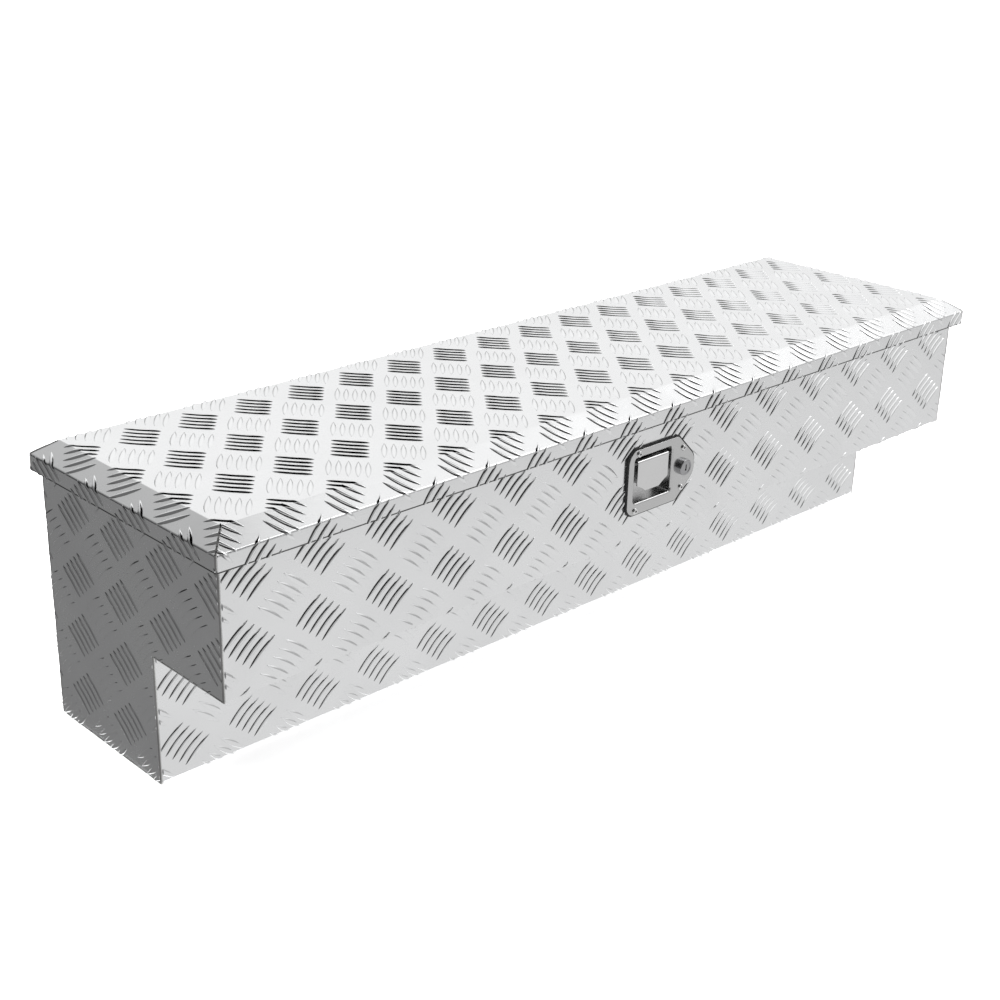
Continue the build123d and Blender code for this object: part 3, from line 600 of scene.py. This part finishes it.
def material(name, colour, roughness, metallic=1.0, grain=(400, 400, 400), grain_depth=0.15,
             cloud=0.06, scratches=0.1, dark=0.85, coat=0.0, sheen=0.0, anisotropic=0.0):
    """A procedural finish: fine grain, cloudy tone and gloss, and long faint scratches."""
    made = bpy.data.materials.new(name)
    made.use_nodes = True
    nodes, links = made.node_tree.nodes, made.node_tree.links
    shader = nodes["Principled BSDF"]
    shader.inputs["Metallic"].default_value = metallic
    shader.inputs["Coat Weight"].default_value = coat
    shader.inputs["Sheen Weight"].default_value = sheen
    shader.inputs["Anisotropic"].default_value = anisotropic
    place = nodes.new("ShaderNodeTexCoord")

    def noise(scale, stretch, detail, distortion=0.0):
        mapping = nodes.new("ShaderNodeMapping")
        mapping.inputs["Scale"].default_value = stretch
        texture = nodes.new("ShaderNodeTexNoise")
        texture.inputs["Scale"].default_value = scale
        texture.inputs["Detail"].default_value = detail
        texture.inputs["Distortion"].default_value = distortion
        links.new(place.outputs["Object"], mapping.inputs["Vector"])
        links.new(mapping.outputs["Vector"], texture.inputs["Vector"])
        return texture.outputs["Fac"]

    def spread(value, low, high, new_low, new_high):
        ranged = nodes.new("ShaderNodeMapRange")
        links.new(value, ranged.inputs["Value"])
        for socket, number in (("From Min", low), ("From Max", high),
                               ("To Min", new_low), ("To Max", new_high)):
            ranged.inputs[socket].default_value = number
        return ranged.outputs["Result"]

    def total(a, b):
        added = nodes.new("ShaderNodeMath")
        added.operation = "ADD"
        links.new(a, added.inputs[0])
        links.new(b, added.inputs[1])
        return added.outputs["Value"]

    fine = noise(1.0, grain, 4.0)
    cloudy = noise(9.0, (1, 1, 1), 3.0, 0.6)
    lines = noise(1.0, (30, 900, 700), 2.0, 0.8)
    scratch = spread(lines, 0.68, 0.74, 0.0, scratches)
    tone = nodes.new("ShaderNodeMix")
    tone.data_type = "RGBA"
    tone.inputs["A"].default_value = (*[c * dark for c in colour], 1)
    tone.inputs["B"].default_value = (*colour, 1)
    links.new(spread(cloudy, 0.35, 0.6, 0.0, 1.0), tone.inputs["Factor"])
    links.new(tone.outputs["Result"], shader.inputs["Base Color"])
    gloss = spread(cloudy, 0.3, 0.7, roughness - cloud, roughness + cloud)
    grainy = total(gloss, spread(fine, 0.2, 0.8, -0.03, 0.03))
    links.new(total(grainy, scratch), shader.inputs["Roughness"])
    bump = nodes.new("ShaderNodeBump")
    bump.inputs["Strength"].default_value = grain_depth
    bump.inputs["Distance"].default_value = 0.0002
    links.new(total(fine, scratch), bump.inputs["Height"])
    links.new(bump.outputs["Normal"], shader.inputs["Normal"])
    return made


FINISH = {
    "tread_plate": material("tread_plate", (0.90, 0.905, 0.91), 0.24, grain=(60, 700, 700),
                            grain_depth=0.03, dark=0.96, cloud=0.03, scratches=0.04),
    "tread_bars": material("tread_bars", (0.91, 0.915, 0.92), 0.13, grain=(300, 300, 300),
                           grain_depth=0.02, dark=0.95, cloud=0.03, scratches=0.03),
    "mill_sheet": material("mill_sheet", (0.80, 0.805, 0.81), 0.36, grain=(50, 800, 800), dark=0.88),
    "weld": material("weld_metal", (0.78, 0.78, 0.77), 0.34, grain=(900, 900, 900), grain_depth=0.3,
                     dark=0.7, scratches=0.02),
    "stainless": material("stainless", (0.60, 0.60, 0.60), 0.20, grain=(40, 1500, 1500),
                          grain_depth=0.08, dark=0.94, anisotropic=0.3),
    "polished_steel": material("polished_steel", (0.74, 0.74, 0.74), 0.16, grain=(40, 1500, 1500),
                               grain_depth=0.06, dark=0.92),
    "rivet_steel": material("rivet_steel", (0.80, 0.80, 0.80), 0.08, grain=(900, 900, 900),
                            grain_depth=0.04, cloud=0.02),
    # painted shade: the cut edge's near-black colour stands in for the shadow line under the lid's lip
    "cut_edge_painted_shade": material("cut_edge_painted_shade", (0.20, 0.20, 0.20), 0.45, grain=(900, 900, 900), dark=0.75),
    "hinge_steel": material("hinge_steel", (0.66, 0.66, 0.67), 0.30, grain=(40, 1200, 1200)),
    "zinc_steel": material("zinc_steel", (0.66, 0.67, 0.70), 0.33, grain=(500, 500, 500), dark=0.8),
    "lock_chrome": material("lock_chrome", (0.42, 0.42, 0.43), 0.15, grain=(700, 700, 700),
                            grain_depth=0.05),
    "rod_chrome": material("rod_chrome", (0.80, 0.80, 0.81), 0.07, grain=(900, 900, 900),
                           grain_depth=0.03, cloud=0.02, scratches=0.03),
    "strut_black": material("strut_black", (0.022, 0.022, 0.024), 0.38, metallic=0.0,
                            grain=(700, 700, 700), grain_depth=0.12, coat=0.3, dark=0.7),
    "socket_plastic": material("socket_plastic", (0.035, 0.035, 0.037), 0.5, metallic=0.0,
                               grain=(1100, 1100, 1100), grain_depth=0.2, dark=0.75, sheen=0.1),
    "rubber": material("rubber", (0.008, 0.008, 0.009), 0.72, metallic=0.0,
                       grain=(900, 900, 900), grain_depth=0.3, dark=0.7, sheen=0.04),
}

PLATED = {
    "tread_plate": ["body_wrap", "lid_panel", "left_end_panel", "right_end_panel"],
    "mill_sheet": ["lid_stiffener"],
    "stainless": ["latch_pan"],
    "polished_steel": ["paddle", "paddle_pin"],
    "rivet_steel": ["latch_rivets"],
    "hinge_steel": ["hinge_body_leaf", "hinge_lid_leaf", "hinge_pin", "hinge_body_rivets",
                    "hinge_lid_rivets"],
    "lock_chrome": ["lock_housing", "lock_plug"],
    "rod_chrome": ["left_strut_rod", "right_strut_rod"],
    "strut_black": ["left_strut_cylinder", "right_strut_cylinder"],
    "socket_plastic": ["left_strut_cylinder_end", "right_strut_cylinder_end",
                       "left_strut_rod_end", "right_strut_rod_end"],
    "rubber": ["rim_gasket", "latch_gasket"],
}


def finish_cad_nodes():
    """Every carried-over node gets its finish; what isn't listed is zinc-plated steel."""
    finish_of = {node: finish for finish, listed in PLATED.items() for node in listed}
    for node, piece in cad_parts.items():
        finish = finish_of.get(node, "zinc_steel")
        piece.data.materials.clear()
        piece.data.materials.append(FINISH[finish])


def finish_piece(piece, finish):
    """Give one of the looks' own pieces its finish."""
    piece.data.materials.append(FINISH[finish])


# ------------------------------------------------------------ studio and camera

def glowing_sheet(name, corner, across, up, grey, roughness, glow):
    """A flat rectangle of the studio that gives off an even light."""
    corner, across, up = Vector(corner), Vector(across), Vector(up)
    mesh = bpy.data.meshes.new(name)
    mesh.from_pydata([corner, corner + across, corner + across + up, corner + up],
                     [], [(0, 1, 2, 3)])
    made = bpy.data.objects.new(name, mesh)
    bpy.context.scene.collection.objects.link(made)
    matt = bpy.data.materials.new(name)
    matt.use_nodes = True
    shader = matt.node_tree.nodes["Principled BSDF"]
    shader.inputs["Base Color"].default_value = (grey, grey, grey, 1)
    shader.inputs["Roughness"].default_value = roughness
    shader.inputs["Specular IOR Level"].default_value = 0.0
    shader.inputs["Emission Color"].default_value = (1, 1, 1, 1)
    shader.inputs["Emission Strength"].default_value = glow
    mesh.materials.append(matt)
    return made


def card(name, corner, across, up, glow):
    """A studio card seen only in reflections."""
    made = glowing_sheet(name, corner, across, up, 0.0, 1.0, glow)
    made.visible_camera = False
    made.visible_diffuse = False
    made.visible_shadow = False


def floor_card(name, x, y, level, glow):
    """A card that lies flat, over a range of x and a range of y."""
    card(name, (x[0], y[0], level), (x[1] - x[0], 0, 0), (0, y[1] - y[0], 0), glow)


def sky():
    """Soft light from all round that fades towards the left end and the horizon."""
    world = bpy.data.worlds.new("studio")
    bpy.context.scene.world = world
    world.use_nodes = True
    nodes, links = world.node_tree.nodes, world.node_tree.links
    direction = nodes.new("ShaderNodeTexCoord")
    split = nodes.new("ShaderNodeSeparateXYZ")
    both = nodes.new("ShaderNodeMath")
    both.operation = "MULTIPLY"
    links.new(direction.outputs["Generated"], split.inputs["Vector"])
    fades = (("X", -0.62, 0.28, 0.15, 1.0), ("Z", -0.05, 0.30, 0.34, 1.0))
    for k, (axis, *numbers) in enumerate(fades):
        ranged = nodes.new("ShaderNodeMapRange")
        ranged.interpolation_type = "SMOOTHSTEP"
        for socket, number in zip(("From Min", "From Max", "To Min", "To Max"), numbers):
            ranged.inputs[socket].default_value = number
        links.new(split.outputs[axis], ranged.inputs["Value"])
        links.new(ranged.outputs["Result"], both.inputs[k])
    links.new(both.outputs["Value"], nodes["Background"].inputs["Strength"])
    nodes["Background"].inputs["Color"].default_value = (1, 1, 1, 1)


def floor_cards(level):
    """The tones that the sheet reflects from the floor round the box."""
    far, near, front_near, gap = 50.0, 1.2, 0.7, 2.5 * MM
    low, high = level + 0.3 * MM, level + 0.6 * MM
    left, front, back, right = -END - gap, FRONT - gap, BACK + gap, END + gap
    floor_card("front_far_card", (left, far), (front - far, front), low, glow=0.42)
    floor_card("front_near_card", (left, far), (front - front_near, STEP_Y - gap), high, glow=0.74)
    floor_card("left_far_card", (left - far, left), (-far, far), low, glow=0.11)
    floor_card("left_near_card", (left - near, left), (front - near, back + near), high, glow=0.21)
    floor_card("back_far_card", (left, far), (back, back + far), low, glow=0.3)
    floor_card("back_near_card", (left, far), (back, back + near), high, glow=0.8)
    floor_card("right_card", (right, far), (front, back), low, glow=0.8)


def standing_cards(level):
    """Dark cards in front, overhead and behind, and a bright strip for the rolled edges."""
    card("front_dark_card", corner=(-3.0, -1.6, 0.5), across=(3.5, 0, 0), up=(0, 0, 1.1), glow=0.03)
    card("overhead_dark_card", corner=(-3.0, -1.6, 2.2), across=(3.45, 0, 0), up=(0, 2.7, 0), glow=0.0)
    card("back_dark_card", corner=(-3.0, 1.5, level + 0.6 * MM), across=(2.8, 0, 0),
         up=(0, 0, 0.45), glow=0.0)
    card("front_strip_light", corner=(1.0, -1.85, 2.4), across=(2.2, 0, 0), up=(0, 0.8, 0), glow=3.5)


def overhead_light():
    """One wide, soft sun from straight above."""
    light = bpy.data.lights.new("overhead", "SUN")
    light.angle = math.radians(70)
    light.energy = 5.5
    lamp = bpy.data.objects.new("overhead", light)
    bpy.context.scene.collection.objects.link(lamp)
    lamp.location = (0, 0, 4)
    lamp.visible_glossy = False
    lamp.visible_camera = False


def studio():
    """A wide pale floor just under the bottom's tread, with the sky, cards and sun."""
    size = 60
    level = -BAR_HEIGHT - 0.2 * MM
    floor = glowing_sheet("floor", corner=(-size, -size, level), across=(2 * size, 0, 0),
                          up=(0, 2 * size, 0), grey=0.9, roughness=0.9, glow=0.6)
    sky()
    floor_cards(level)
    standing_cards(level)
    overhead_light()


def camera():
    """The photo's viewpoint, left of the latch side and above it."""
    azimuth, elevation, roll = (math.radians(a) for a in (-42.05, 22.78, 0.60))
    distance = 2.031
    sensor_width, lens_ratio = 36.0, 1.643
    target = Vector((-END + 0.4871, FRONT + 0.2347, 0.1538))
    back = Vector((math.sin(azimuth) * math.cos(elevation), -math.cos(azimuth) * math.cos(elevation),
                   math.sin(elevation)))
    right = (-back).cross(Vector((0, 0, 1))).normalized()
    up = right.cross(-back)
    tilted_right = right * math.cos(roll) + up * math.sin(roll)
    tilted_up = up * math.cos(roll) - right * math.sin(roll)
    data = bpy.data.cameras.new("camera")
    data.sensor_width = sensor_width
    data.lens = sensor_width * lens_ratio
    data.shift_x = 0.06
    data.clip_start = 0.05
    data.clip_end = 100
    made = bpy.data.objects.new("camera", data)
    bpy.context.scene.collection.objects.link(made)
    turn = Matrix((tilted_right, tilted_up, back)).transposed().to_4x4()
    made.matrix_world = Matrix.Translation(target + back * distance) @ turn
    bpy.context.scene.camera = made


# --------------------------------------------------------------------- assembly

finish_cad_nodes()
for tread in (body_tread(), end_tread(-1), end_tread(1), lid_tread()):
    finish_piece(tread, "tread_bars")
for bead in body_seams() + lid_seams():
    finish_piece(bead, "weld")
# the lip's edge band is coloured dark, as painted shade for the shadow line under the lid
finish_piece(lid_sheared_shade_edge(), "cut_edge_painted_shade")
studio()
camera()
bpy.context.scene.view_settings.view_transform = "Standard"
